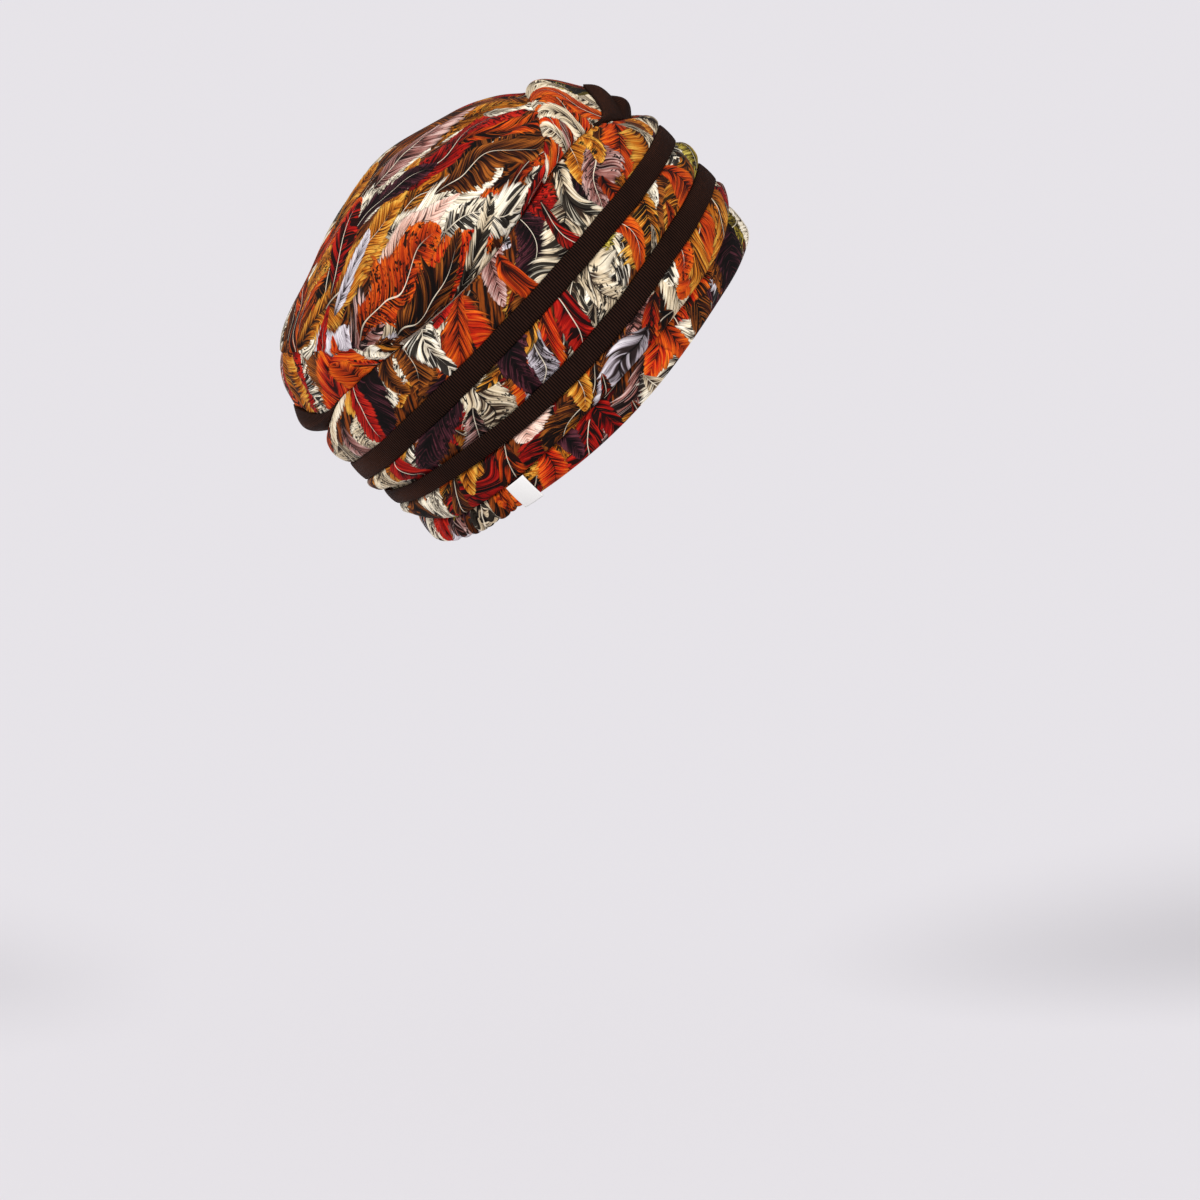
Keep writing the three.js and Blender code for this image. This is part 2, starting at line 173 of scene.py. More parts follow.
def lay(name, grid, uv, materials, thickness, joined=False):
    """Cloth object from a grid in the level cap frame in mm. Each grid cell is one quad, the
    cap is turned by TILT about X, and uv (two arrays in mm) becomes the print map in metres."""
    rows, columns = grid.shape[:2]
    spans = columns if joined else columns - 1
    j, i = np.meshgrid(np.arange(rows - 1), np.arange(spans), indexing="ij")
    k = (i + 1) % columns
    above, below = j * columns, (j + 1) * columns
    quads = np.stack([above + i, below + i, below + k, above + k], axis=-1)
    c, s = np.cos(TILT), np.sin(TILT)
    x, y, z = np.moveaxis(grid.reshape(-1, 3), 1, 0) / 1000
    points = np.stack([x, y * c + z * s, z * c - y * s], axis=1)
    mesh = bpy.data.meshes.new(name)
    mesh.vertices.add(len(points))
    mesh.vertices.foreach_set("co", points.ravel())
    mesh.loops.add(quads.size)
    mesh.loops.foreach_set("vertex_index", quads.ravel().astype(np.int32))
    mesh.polygons.add(quads.size // 4)
    mesh.polygons.foreach_set("loop_start", np.arange(0, quads.size, 4, dtype=np.int32))
    mesh.update(calc_edges=True)
    places = ((j, i), (j + 1, i), (j + 1, i + 1), (j, i + 1))
    corners = [np.stack([uv[0][place], uv[1][place]], axis=-1) for place in places]
    layer = mesh.uv_layers.new(name="cloth")
    layer.data.foreach_set("uv", (np.stack(corners, axis=2) / 1000).ravel())
    mesh.polygons.foreach_set("use_smooth", np.ones(quads.size // 4, dtype=bool))
    for material in materials:
        mesh.materials.append(material)
    piece = bpy.data.objects.new(name, mesh)
    bpy.context.collection.objects.link(piece)
    wall = piece.modifiers.new("wall", "SOLIDIFY")
    wall.thickness = thickness / 1000
    wall.offset = -1
    wall.material_offset = len(materials) - 1
    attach(piece, "root")
    return piece


def print_map(grid, turn, shift, joined=False):
    """Cloth coordinates turned by an angle in degrees and shifted in mm, so that the print
    lies on each piece as it was cut."""
    u, v = lengths(grid, joined)
    c, s = np.cos(np.radians(turn)), np.sin(np.radians(turn))
    return u * c - v * s + shift[0], u * s + v * c + shift[1]


def srgb(r, g, b):
    """Linear colour with alpha from 8-bit values."""
    v = np.array([r, g, b]) / 255
    return (*np.where(v <= 0.04045, v / 12.92, ((v + 0.055) / 1.055) ** 2.4), 1.0)


class Wire:
    """A number inside a node tree. Sums, products and so on of wires add Math nodes."""

    def __init__(self, tree, out):
        self.tree, self.out = tree, out

    def calc(self, operation, *others):
        node = self.tree.nodes.new("ShaderNodeMath")
        node.operation = operation
        for socket, value in zip(node.inputs, (self, *others)):
            plug(self.tree, socket, value)
        return Wire(self.tree, node.outputs[0])

    def __add__(self, other):
        return self.calc("ADD", other)

    def __sub__(self, other):
        return self.calc("SUBTRACT", other)

    def __mul__(self, other):
        return self.calc("MULTIPLY", other)

    def __truediv__(self, other):
        return self.calc("DIVIDE", other)

    def ramp(self, low, high, start=0.0, end=1.0):
        node = self.tree.nodes.new("ShaderNodeMapRange")
        node.interpolation_type = "SMOOTHSTEP"
        for socket, value in zip(node.inputs, (self, low, high, start, end)):
            plug(self.tree, socket, value)
        return Wire(self.tree, node.outputs[0])


def plug(tree, socket, value):
    """Link a wire or an output to a socket, or set a plain value on it."""
    if isinstance(value, Wire):
        tree.links.new(value.out, socket)
    elif isinstance(value, bpy.types.NodeSocket):
        tree.links.new(value, socket)
    else:
        socket.default_value = value


def vector(tree, x, y, z):
    """Output of three numbers joined to a vector."""
    node = tree.nodes.new("ShaderNodeCombineXYZ")
    for socket, value in zip(node.inputs, (x, y, z)):
        plug(tree, socket, value)
    return node.outputs[0]


def split(tree, out):
    """Three wires of a vector."""
    node = tree.nodes.new("ShaderNodeSeparateXYZ")
    tree.links.new(out, node.inputs[0])
    return [Wire(tree, o) for o in node.outputs]


def noise(tree, place, scale, detail=2.0, rough=0.5):
    """Noise texture at a place: its value as a wire and its colour output."""
    node = tree.nodes.new("ShaderNodeTexNoise")
    tree.links.new(place, node.inputs["Vector"])
    node.inputs["Scale"].default_value = scale
    node.inputs["Detail"].default_value = detail
    node.inputs["Roughness"].default_value = rough
    return Wire(tree, node.outputs[0]), node.outputs[1]


def blend(tree, share, first, second, way="MIX"):
    """Colour output between two colours."""
    node = tree.nodes.new("ShaderNodeMix")
    node.data_type, node.blend_type = "RGBA", way
    plug(tree, node.inputs[0], share)
    plug(tree, node.inputs[6], first)
    plug(tree, node.inputs[7], second)
    return node.outputs[2]


def chosen(tree, chance, colours):
    """Colour picked from (share, colour) rows by a random wire from 0 to 1."""
    node = tree.nodes.new("ShaderNodeValToRGB")
    ramp = node.color_ramp
    ramp.interpolation = "CONSTANT"
    tree.links.new(chance.out, node.inputs[0])
    starts = np.cumsum([0] + [share for share, _ in colours]) / sum(share for share, _ in colours)
    while len(ramp.elements) < len(colours):
        ramp.elements.new(1.0)
    for element, start, (_, colour) in zip(ramp.elements, starts, colours):
        element.position = start
        element.color = srgb(*colour)
    return node.outputs[0]


PLUME_VANES = (  # share of plumes, colour of the vane by the shaft
    (16, (186, 72, 18)), (9, (198, 54, 16)), (15, (186, 114, 26)), (17, (78, 40, 20)),
    (12, (234, 224, 202)), (10, (220, 204, 176)), (9, (160, 20, 14)), (4, (160, 112, 104)),
    (4, (198, 190, 196)), (5, (46, 22, 30)), (1, (124, 140, 152)), (1, (146, 128, 38)),
    (2, (222, 182, 166)),
)
PLUME_TIPS = (  # same shares, colour of the vane towards its edge
    (16, (222, 122, 36)), (9, (228, 132, 46)), (15, (230, 184, 92)), (17, (182, 116, 50)),
    (12, (248, 242, 228)), (10, (242, 234, 214)), (9, (204, 62, 40)), (4, (220, 192, 184)),
    (4, (230, 226, 228)), (5, (116, 66, 76)), (1, (210, 216, 218)), (1, (216, 200, 112)),
    (2, (242, 224, 210)),
)
INK = (20, 10, 7)
CREAM = (240, 230, 210)
SHADOW = (60, 36, 27)
RIM_SHADOW = (70, 44, 34)
PLUME_INPUTS = ("Turn", "Long", "Wide", "Seed", "Fill")


def plume_group():
    """Node group that strews one layer of plumes over the cloth. The plane is warped, turned
    and cut into bricks; each brick holds one bent lens-shaped plume with barbs that sweep
    from its shaft, coloured by random numbers of the brick. Lengths are in cm."""
    tree = bpy.data.node_groups.new("plume_layer", "ShaderNodeTree")
    face = tree.interface
    face.new_socket(name="Place", in_out="INPUT", socket_type="NodeSocketVector")
    for name in PLUME_INPUTS:
        face.new_socket(name=name, in_out="INPUT", socket_type="NodeSocketFloat")
    face.new_socket(name="Colour", in_out="OUTPUT", socket_type="NodeSocketColor")
    face.new_socket(name="Cover", in_out="OUTPUT", socket_type="NodeSocketFloat")
    given = tree.nodes.new("NodeGroupInput").outputs
    turn, long, wide, seed, fill = (Wire(tree, given[name]) for name in PLUME_INPUTS)
    x0, y0, _ = split(tree, given["Place"])
    _, drift = noise(tree, vector(tree, x0, y0, seed), 0.22, 1.0)
    dx, dy, _ = split(tree, drift)
    x1, y1 = x0 + (dx - 0.5) * 4.5, y0 + (dy - 0.5) * 4.5
    c, s = turn.calc("COSINE"), turn.calc("SINE")
    x, y = (x1 * c + y1 * s) / long, (y1 * c - x1 * s) / wide
    row = y.calc("FLOOR")
    slip = tree.nodes.new("ShaderNodeTexWhiteNoise")
    slip.noise_dimensions = "2D"
    tree.links.new(vector(tree, row, seed, 0.0), slip.inputs["Vector"])
    x = x + Wire(tree, slip.outputs["Value"])
    brick = vector(tree, x.calc("FLOOR"), row, seed)
    dice = []
    for offset in (0.0, 0.37):
        roll = tree.nodes.new("ShaderNodeTexWhiteNoise")
        roll.noise_dimensions = "3D"
        moved = tree.nodes.new("ShaderNodeVectorMath")
        moved.operation = "ADD"
        tree.links.new(brick, moved.inputs[0])
        moved.inputs[1].default_value = (offset, offset * 2, offset * 3)
        tree.links.new(moved.outputs[0], roll.inputs["Vector"])
        dice += split(tree, roll.outputs["Color"])
    lean, bow, size, pick, style, there = dice
    px = (x.calc("FRACT") - 0.5) * long
    py = (y.calc("FRACT") - 0.5) * wide
    tip = (lean - 0.5) * 0.22
    a = px + py * tip
    reach = long * (size * 0.12 + 0.39)
    n = a / reach
    b = py - px * tip + (bow - 0.5) * (n * n - 0.35) * wide * 0.3
    side = b.calc("ABSOLUTE")
    sweep = a - side * 1.1
    grain, _ = noise(tree, vector(tree, sweep * 7.0, b * 0.7, seed + pick * 40.0), 1.0, 2.0, 0.6)
    strands, _ = noise(tree, vector(tree, sweep * 13.0, b * 0.9, seed + lean * 50.0), 1.0, 1.0)
    bars, _ = noise(tree, vector(tree, sweep * 1.6, b * 0.9, seed + style * 60.0), 1.0, 1.0)
    flecks, _ = noise(tree, vector(tree, a * 3.4, b * 5.2, seed + style * 80.0), 1.0, 2.0, 0.7)
    vane = (n * n * -1.0 + 1.0).calc("MAXIMUM", 0.0).calc("POWER", 0.62) * (n * 0.16 + 0.86)
    edge = vane * wide * 0.5 * ((grain - 0.5) * 0.75 + 0.94)
    cover = (edge - side).ramp(0.0, 0.05) * (fill - there).ramp(0.0, 0.001)
    across = side / edge.calc("MAXIMUM", 0.02)
    depth = across * 0.6 + n * 0.2 + (grain - 0.5) * 2.6 + 0.1
    vane_colour = chosen(tree, pick, PLUME_VANES)
    body = blend(tree, depth.ramp(0.35, 1.0), vane_colour, chosen(tree, pick, PLUME_TIPS))
    body = blend(tree, depth.ramp(0.42, -0.05, 0.0, 0.95), body, srgb(*SHADOW), "MULTIPLY")
    waves = (sweep * 4.6 + bars * 17.0).calc("SINE") + (grain - 0.5) * 2.2
    striped = style.ramp(0.70, 0.701) * waves.ramp(0.05, 0.35)
    specked = style.ramp(0.26, 0.259) * (flecks + (grain - 0.5) * 0.6).ramp(0.56, 0.63)
    body = blend(tree, striped.calc("MAXIMUM", specked) * 0.94, body, srgb(*INK))
    hair = (strands - 0.5).calc("ABSOLUTE").ramp(0.0, 0.03, 0.75, 0.0)
    body = blend(tree, hair, body, srgb(*INK))
    shine = strands.ramp(0.60, 0.66, 0.0, 0.55)
    body = blend(tree, shine, body, chosen(tree, pick, PLUME_TIPS))
    quill = (side - (n * -0.010 + 0.012)).ramp(0.0, 0.014, 0.8, 0.0) * n.ramp(0.9, 0.3)
    body = blend(tree, quill, body, blend(tree, bow.ramp(0.42, 0.421), srgb(*CREAM), srgb(*INK)))
    rim = across.ramp(0.8, 1.0) * 0.55 + n.ramp(-0.55, -1.0, 0.0, 0.6)
    body = blend(tree, rim, body, srgb(*RIM_SHADOW), "MULTIPLY")
    made = tree.nodes.new("NodeGroupOutput").inputs
    tree.links.new(body, made["Colour"])
    tree.links.new(cover.out, made["Cover"])
    return tree


PLUME_LAYERS = (  # turn in degrees, brick length and width in cm, seed, share of bricks filled
    (8, 10.5, 3.5, 3.0, 1.0),
    (-18, 9.2, 3.1, 11.0, 0.95),
    (22, 8.4, 2.8, 23.0, 0.9),
    (-6, 7.6, 2.5, 37.0, 0.85),
    (13, 6.6, 2.1, 53.0, 0.65),
    (-30, 5.2, 1.7, 71.0, 0.4),
)


def cloth_material(name):
    """New material with its tree, its Principled shader and the cloth's own map in cm."""
    material = bpy.data.materials.new(name)
    material.use_nodes = True
    tree = material.node_tree
    shader = tree.nodes["Principled BSDF"]
    given = tree.nodes.new("ShaderNodeUVMap")
    given.uv_map = "cloth"
    scaled = tree.nodes.new("ShaderNodeVectorMath")
    scaled.operation = "SCALE"
    scaled.inputs["Scale"].default_value = 100.0
    tree.links.new(given.outputs[0], scaled.inputs[0])
    return material, tree, shader, scaled.outputs[0]


def raised(tree, shader, height, distance, strength):
    """Bump of a height wire, distance in metres, on a shader."""
    node = tree.nodes.new("ShaderNodeBump")
    node.inputs["Strength"].default_value = strength
    node.inputs["Distance"].default_value = distance
    tree.links.new(height.out, node.inputs["Height"])
    tree.links.new(node.outputs[0], shader.inputs["Normal"])


def print_cloth():
    """Printed jersey: layers of plumes over a dark ground, with a fine knit grain."""
    material, tree, shader, place = cloth_material("print_cloth")
    group = plume_group()
    u, v, _ = split(tree, place)
    brush, _ = noise(tree, vector(tree, u * 0.5, v * 5.0, 4.0), 1.0, 3.0, 0.65)
    colour = blend(tree, brush.ramp(0.42, 0.62), srgb(30, 15, 10), srgb(150, 84, 28))
    for turn, long, wide, seed, fill in PLUME_LAYERS:
        node = tree.nodes.new("ShaderNodeGroup")
        node.node_tree = group
        tree.links.new(place, node.inputs["Place"])
        for name, value in zip(PLUME_INPUTS, (np.radians(turn), long, wide, seed, fill)):
            node.inputs[name].default_value = value
        colour = blend(tree, node.outputs["Cover"], colour, node.outputs["Colour"])
    wash, _ = noise(tree, place, 1.3, 3.0, 0.6)
    tone = wash.ramp(0.3, 0.7, 1.0, 1.3)
    deep = tree.nodes.new("ShaderNodeGamma")
    deep.inputs["Gamma"].default_value = 1.3
    tree.links.new(colour, deep.inputs["Color"])
    colour = blend(tree, 1.0, deep.outputs[0], vector(tree, tone, tone, tone), "MULTIPLY")
    tree.links.new(colour, shader.inputs["Base Color"])
    shader.inputs["Roughness"].default_value = 0.82
    shader.inputs["Specular IOR Level"].default_value = 0.12
    shader.inputs["Sheen Weight"].default_value = 0.02
    shader.inputs["Sheen Roughness"].default_value = 0.4
    knit = (u * 130.0).calc("SINE") * (v * 130.0).calc("SINE")
    pile, _ = noise(tree, place, 22.0, 2.0)
    raised(tree, shader, knit * 0.3 + pile, 0.00025, 0.35)
    return material


def print_back():
    """Back of the printed jersey: off-white yarn with the print's colours faintly through."""
    material, tree, shader, place = cloth_material("print_back")
    ghost, _ = noise(tree, place, 0.7, 2.0)
    yarn, _ = noise(tree, place, 30.0, 2.0)
    colour = blend(tree, ghost.ramp(0.35, 0.7), srgb(212, 198, 182), srgb(196, 170, 146))
    colour = blend(tree, yarn.ramp(0.3, 0.7, 0.0, 0.18), colour, srgb(120, 92, 72))
    tree.links.new(colour, shader.inputs["Base Color"])
    shader.inputs["Roughness"].default_value = 0.9
    raised(tree, shader, yarn, 0.0002, 0.3)
    return material


PRINT = (print_cloth(), print_back())


def printed(name, grid, turn, shift, thickness, joined=False):
    """Printed piece on a grid, its print turned and shifted as the cloth was cut."""
    uv = print_map(grid, turn, shift, joined)
    return lay(name, grid, uv, PRINT, thickness, joined)


def crown_base(t, w):
    """Crown without folds, t from the front crease to the back and w from -1 at the right
    edge to 1 at the left: a squared arch in w between the upper edge ring and a ridge line
    over the middle, with a soft puff low on each side."""
    edge = ring("upper_edge", mix(*CROWN_SPAN, t), -VALLEY)
    rise = rounded(np.cos(w * np.pi / 2))
    puff = CROWN_PUFF * bell((np.abs(w) - 0.68) / 0.32) * bell((t - 0.5) / 0.75)
    x = np.abs(edge[..., 0]) * rounded(np.sin(w * np.pi / 2)) + np.sign(w) * puff
    y = mix(-along_rows(CROWN_AHEAD, t), edge[..., 1], np.maximum(1 - rise, 0) ** mix(2.0, 0.9, t))
    z = mix(edge[..., 2] + GAP, along_rows(CROWN_HEIGHT, t), rise)
    return np.stack([x, y, z], axis=-1)


t, w = np.meshgrid(np.linspace(0, 1, 150), np.linspace(1, -1, 190), indexing="ij")
crown_grid = crown_base(t, w)
out = normals(crown_grid)
u_mm, v_mm = lengths(crown_grid)
press = sum(deep * bell((w - mix(front, back, t)) / half) for front, back, half, deep in CROWN_FOLDS)
press = press * (0.45 + 0.55 * (2 * t - 1) ** 2) * bell(2 * t - 1) ** 0.25
front_fan = gathers(w, 24, -0.96, 0.96, 0.04, 5) * 1.3 * bell((t - 0.03) / 0.26) ** 2
back_fan = gathers(w, 22, -0.96, 0.96, 0.045, 6) * 1.8 * bell((1 - t - 0.02) / 0.2) ** 2
soft = 0.8 * ripples(v_mm / 2.2, u_mm, 30.0, 7) * bell(2 * t - 1) ** 0.3 * (1 - np.abs(w) ** 6)
valley = CROWN_VALLEY * bell((1 - np.abs(w)) / 0.06)
crown_grid = crown_grid + out * (CROWN_OUT - press - front_fan - back_fan - valley + soft)[..., None]
crown_grid = turned_in(crown_grid, 0, CROWN_CREASE)
crown_grid = turned_in(crown_grid, -1, CROWN_CREASE)
crown = printed("crown_cloth", crown_grid, 90, (0, 0), 1.3)
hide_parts("crown")

# Front tuck: a roll of the same printed cloth across the front top, between the crown's
# front crease and the ribbon below it; its lower edge is stitched to that ribbon.
FRONT_TUCK = {"ahead": 96.0, "height": 105.0, "reach": 45.0, "bulge": 0.24, "lean": 0.52}


def side_angle(name, side, behind):
    """Angle from the front at which a ring lies that far from the middle plane."""
    share = np.minimum(1, np.abs(side) / RINGS[name][2])
    turned = np.degrees(np.arcsin(share ** (SQUARENESS / 2)))
    return 180 - turned if behind else turned


def at_side(name, side, behind, out=-VALLEY):
    """Point of a ring that far from the middle plane, moved out a little."""
    point = ring(name, side_angle(name, side, behind), out)
    point[..., 0] = side
    return point


def tuck_edge(tuck, side, behind):
    """Top line of a tuck's ribbon: the upper edge ring lifted by a bell about the middle."""
    base = at_side("upper_edge", side, behind)
    middle = ring("upper_edge", np.array(180.0 if behind else 0.0), -VALLEY)
    lift = bell(side / tuck["reach"])
    y = base[..., 1] + lift * (-tuck["ahead"] - middle[1])
    z = base[..., 2] + GAP + lift * (tuck["height"] - base[..., 2])
    return np.stack([side, y, z], axis=-1)


def swollen(top, foot, v, bulge, lean=1.0):
    """Straight lines from top to foot, swollen away from the head in the plane of y and z by
    bulge times the sine of half a turn of v to the power lean."""
    chord = foot - top
    out = np.stack([np.zeros(chord.shape[:-1]), -chord[..., 2], chord[..., 1]], axis=-1)
    out = out * np.sign(foot[..., 1:2])
    out /= np.maximum(np.linalg.norm(out, axis=-1, keepdims=True), 1e-9)
    return top + chord * v[..., None] + out * (bulge * np.sin(np.pi * v**lean))[..., None]


v, u = np.meshgrid(np.linspace(0, 1, 40), np.linspace(-0.97, 0.97, 150), indexing="ij")
top = crown_base(np.zeros_like(u), u) + np.array([0, -0.9, 0])
foot = tuck_edge(FRONT_TUCK, top[..., 0], False)
bulge = FRONT_TUCK["bulge"] * np.linalg.norm(foot - top, axis=-1)
front_tuck_grid = swollen(top, foot, v, bulge, FRONT_TUCK["lean"])
creases = gathers(u, 20, -0.9, 0.9, 0.05, 15) * 1.1 * bell((v - 0.15) / 0.5)
creases = creases * np.minimum(1, bulge / 4)
front_tuck_grid = front_tuck_grid - normals(front_tuck_grid) * creases[..., None]
front_tuck_grid = turned_in(front_tuck_grid, 0, ((1.0, 1.0), (1.5, 3.0)))
front_tuck_grid = turned_in(front_tuck_grid, -1, ((0.8, 1.2), (1.5, 2.0)))
front_tuck = printed("front_tuck_cloth", front_tuck_grid, 60, (310, 40), 1.1)
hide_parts("front_tuck")

# Front ribbon: dark brown grosgrain along the lower edge of the front tuck. Its ends slip
# under the upper fold and its lower edge lies on the crossing fold.
RIBBON_HALF = 5.4
FRONT_RIBBON = {"lift": 26.0, "drop": 12.0, "least": 1.2, "forward": 1.4, "bulge": 1.9}
# Ribbon colours: the rib wave in ribbon_cloth blends them, with painted highlight on each rib crest and
# painted shade in each hollow between ribs, mixed with random slub tone.
RIBBON_DARK = (8, 4, 3)
RIBBON_LIGHT = (48, 28, 20)


def ribbon_cloth():
    """Grosgrain: fine ribs across the ribbon every 1.25 mm and a dull sheen."""
    material, tree, shader, place = cloth_material("ribbon")
    along, across, _ = split(tree, place)
    rib = (along * 50.0).calc("SINE")
    slub, _ = noise(tree, vector(tree, along * 30.0, across * 3.0, 0.0), 1.0, 2.0)
    cast, _ = noise(tree, place, 1.2, 2.0)
    # Rib term: painted highlight on the rib crests and painted shade between the ribs; the slub and cast
    # noise add random tone.
    tone = rib * 0.5 + 0.4 + (slub - 0.5) * 0.7 + (cast - 0.5) * 0.4
    colour = blend(tree, tone.ramp(0.0, 1.0), srgb(*RIBBON_DARK), srgb(*RIBBON_LIGHT))
    tree.links.new(colour, shader.inputs["Base Color"])
    shader.inputs["Roughness"].default_value = 0.62
    shader.inputs["Specular IOR Level"].default_value = 0.03
    shader.inputs["Sheen Weight"].default_value = 0.15
    shader.inputs["Sheen Roughness"].default_value = 0.28
    shader.inputs["Sheen Tint"].default_value = srgb(150, 84, 56)
    raised(tree, shader, rib + slub * 0.6, 0.0003, 0.6)
    return material


RIBBON = (ribbon_cloth(),)


def trimmed(name, grid, thickness, joined=False):
    """Length of ribbon on a grid, with its ribs across its run."""
    return lay(name, grid, lengths(grid, joined), RIBBON, thickness, joined)


def front_ribbon_foot(side):
    """Lower line of the front ribbon: on the band's edge at the ends, lifted by a bell to a
    drop below the top line at the middle, and always a least width below that line."""
    base, top = at_side("upper_edge", side, False), tuck_edge(FRONT_TUCK, side, False)
    lift = bell(side / FRONT_RIBBON["lift"])
    low = mix(base[..., 2] + 2 * GAP, top[..., 2] - FRONT_RIBBON["drop"], lift)
    z = np.minimum(low, top[..., 2] - FRONT_RIBBON["least"])
    return np.stack([side, base[..., 1] - FRONT_RIBBON["forward"] * lift, z], axis=-1)


run = FRONT_TUCK["reach"] * np.linspace(-0.96, 0.96, 140)
v, side = np.meshgrid(np.linspace(0, 1, 14), run, indexing="ij")
top = tuck_edge(FRONT_TUCK, side, False) + np.array([0, -0.8, 0.6])
foot = front_ribbon_foot(side)
front_ribbon_grid = swollen(top, foot, v, FRONT_RIBBON["bulge"] * bell(side / FRONT_TUCK["reach"]))
front_ribbon_grid = turned_in(front_ribbon_grid, -1, ((0.5, 0.6), (0.6, 1.6)))
front_ribbon = trimmed("front_ribbon_cloth", front_ribbon_grid, 1.0)
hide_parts("front_ribbon")

# Cross ribbon: the end of the ribbon that comes out obliquely from under the front ribbon
# and goes down under the upper fold, to the right of the middle.
CROSS = {"reach": 17.0, "split": 3.0, "slant": 4.0, "height": 13.4, "bulge": 3.4}
CROSS_TURN = ((1.5, 0.4), (3.0, 1.2))


def cross_grid(start, end, slant, columns):
    """Lines from under the front ribbon to the band's top edge, swollen out; both ends of
    the strip slant with height."""
    v, u = np.meshgrid(np.linspace(0, 1, 24), np.linspace(0, 1, columns), indexing="ij")
    side = mix(start + slant[0] * (1 - v), end + slant[1] * (1 - v), u)
    top, foot = front_ribbon_foot(side), at_side("upper_edge", side, False)
    top[..., 2] += 0.6
    top[..., 1] += 0.9
    tall = np.linalg.norm(foot - top, axis=-1)
    return swollen(top, foot, v, CROSS["bulge"] * (tall / CROSS["height"]) ** 2)


cross_ribbon_grid = cross_grid(-CROSS["reach"], CROSS["split"], (0.0, CROSS["slant"]), 50)
cross_ribbon_grid = turned_in(cross_ribbon_grid, -1, CROSS_TURN)
cross_ribbon = trimmed("cross_ribbon_cloth", cross_ribbon_grid, 1.0)
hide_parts("cross_ribbon")

# Cross tuck: the printed cloth beside the cross ribbon, which goes down with it under the
# upper fold to the left of the middle.
cross_tuck_grid = cross_grid(CROSS["split"], CROSS["reach"], (CROSS["slant"], 0.0), 40)
cross_tuck_grid = turned_in(cross_tuck_grid, -1, CROSS_TURN)
cross_tuck = printed("cross_tuck_cloth", cross_tuck_grid, 30, (120, 260), 1.0)
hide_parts("cross_tuck")

# Back tuck: printed cloth gathered in upright ripples between the crown's back crease and
# the ribbon that hangs below it.
BACK_TUCK = {"ahead": -107.5, "height": 95.5, "reach": 48.0, "bulge": 0.11, "lean": 0.9}
v, u = np.meshgrid(np.linspace(0, 1, 34), np.linspace(0.97, -0.97, 170), indexing="ij")
top = crown_base(np.ones_like(u), u) + np.array([0, 1.2, 0])
foot = tuck_edge(BACK_TUCK, top[..., 0], True)
bulge = BACK_TUCK["bulge"] * np.linalg.norm(foot - top, axis=-1)
back_tuck_grid = swollen(top, foot, v, bulge, BACK_TUCK["lean"])
folds = gathers(u + 0.03 * v, 26, -0.95, 0.95, 0.045, 25) * 1.8 * np.minimum(1, bulge / 1.5)
back_tuck_grid = back_tuck_grid - normals(back_tuck_grid) * (folds * (1 - 0.3 * v))[..., None]
back_tuck_grid = turned_in(back_tuck_grid, 0, ((1.0, 1.0), (1.5, 3.0)))
back_tuck_grid = turned_in(back_tuck_grid, -1, ((0.8, 1.2), (1.5, 2.4)))
back_tuck = printed("back_tuck_cloth", back_tuck_grid, 70, (520, 130), 1.1)
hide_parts("back_tuck")

# Back ribbon: the grosgrain that finishes the back tuck. It hangs full at the middle and
# rolls in at its lower edge, where it goes under the upper fold.
BACK_RIBBON_BULGE = 6.2
run = BACK_TUCK["reach"] * np.linspace(0.96, -0.96, 150)
v, side = np.meshgrid(np.linspace(0, 1, 30), run, indexing="ij")
top = tuck_edge(BACK_TUCK, side, True) + np.array([0, 0.6, 0.4])
foot = at_side("upper_edge", side, True)
back_ribbon_grid = swollen(top, foot, v, BACK_RIBBON_BULGE * bell(side / BACK_TUCK["reach"]))
back_ribbon_grid = turned_in(back_ribbon_grid, -1, ((1.0, 0.6), (2.0, 1.6)))
back_ribbon = trimmed("back_ribbon_cloth", back_ribbon_grid, 1.0)
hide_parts("back_ribbon")

# Upper fold: the broad soft roll of printed cloth round the head above the upper ribbon.
# It is stitched in behind that ribbon and folds in on itself at its upper edge.
AROUND = np.linspace(-90, 270, 620, endpoint=False)


def roll(stations, rows, degrees):
    """Band through stations: each lies between two rings, shifted in height and moved out,
    and a smooth curve joins them in cross-section."""
    lines = []
    for low, low_shift, high, high_shift, along, out in stations:
        a = ring(low, degrees, out) + np.array([0, 0, low_shift])
        b = ring(high, degrees, out) + np.array([0, 0, high_shift])
        lines.append(mix(a, b, along))
    return along_rows(np.stack(lines), np.linspace(0, 1, rows))


UPPER_STATIONS = (
    ("upper_ribbon", 0.0, "upper_edge", 0.0, 0.0, -1.9),
    ("upper_ribbon", RIBBON_HALF - 1.4, "upper_edge", 0.0, 0.0, -1.5),
    ("upper_ribbon", RIBBON_HALF + 1.0, "upper_edge", -GAP, 0.0, 0.4),
    ("upper_ribbon", RIBBON_HALF + 0.4, "upper_edge", -GAP, 0.22, 2.3),
    ("upper_ribbon", RIBBON_HALF + 0.4, "upper_edge", -GAP, 0.5, 3.4),
    ("upper_ribbon", RIBBON_HALF + 0.4, "upper_edge", -GAP, 0.8, 2.6),
    ("upper_ribbon", RIBBON_HALF + 0.4, "upper_edge", -GAP, 0.98, -0.2),
    ("upper_edge", 0.2, "upper_edge", 0.2, 0.0, -2.2),
    ("upper_edge", -2.5, "upper_edge", -2.5, 0.0, -4.2),
)
upper_fold_grid = roll(UPPER_STATIONS, 44, AROUND)
v = np.linspace(0, 1, 44)[:, None]
turned = np.abs((AROUND + 540) % 360 - 180)[None, :]
u_mm, v_mm = (a[:, :-1] for a in lengths(upper_fold_grid, True))
front = bell((turned - 30) / 44)
pucker = gathers(turned + 6 * v, 15, 2, 66, 2.2, 31) * 1.3 * front * bell((v - 0.68) / 0.4)
